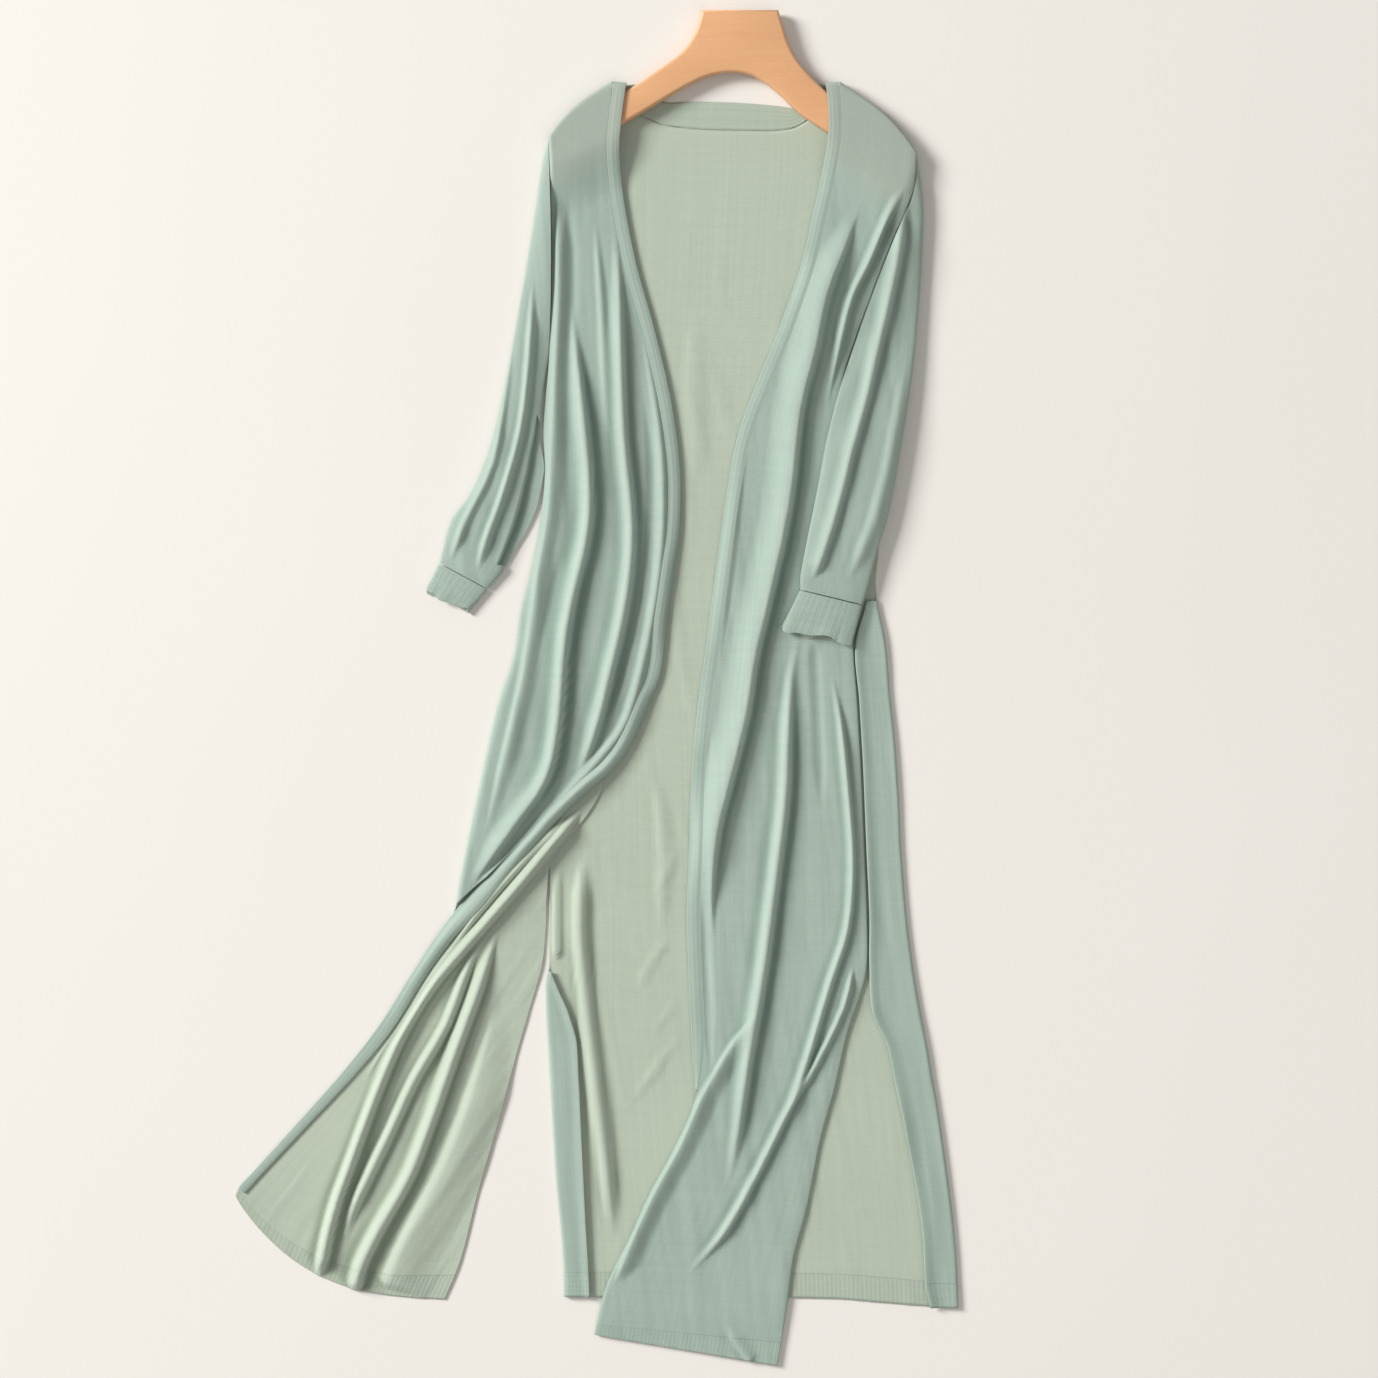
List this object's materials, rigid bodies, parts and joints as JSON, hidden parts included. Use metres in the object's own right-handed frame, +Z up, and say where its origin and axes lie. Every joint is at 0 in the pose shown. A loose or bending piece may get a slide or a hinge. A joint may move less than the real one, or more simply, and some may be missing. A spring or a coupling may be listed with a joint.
{
  "type": "duster cardigan with hanger",
  "caption": "Long open knit cardigan laid flat with a wooden hanger in its shoulders, one front swept aside, side slits, ribbed cuffs and hems.",
  "frame": {"origin": "under the middle of the whole outline, on the surface that the cardigan lies on", "axes": "+Z up from the surface, +Y towards the neck and the hanger's top, +X towards the wearer's left side"},
  "size_m": [0.723, 1.3525, 0.0191],
  "materials": {
    "sage_knit": "fine matt jersey knit with a soft sheen",
    "sage_rib": "fine matt rib knit",
    "beech_wood": "satin lacquered light wood"
  },
  "bodies": {
    "root": {"back": "sage_knit", "right_front": "sage_knit", "left_front": "sage_knit", "right_sleeve": "sage_knit", "left_sleeve": "sage_knit", "right_cuff": "sage_rib", "left_cuff": "sage_rib", "neck_band": "sage_rib", "right_front_band": "sage_rib", "left_front_band": "sage_rib", "back_hem": "sage_rib", "right_front_hem": "sage_rib", "left_front_hem": "sage_rib", "wooden_hanger": "beech_wood"}
  },
  "joints": []
}
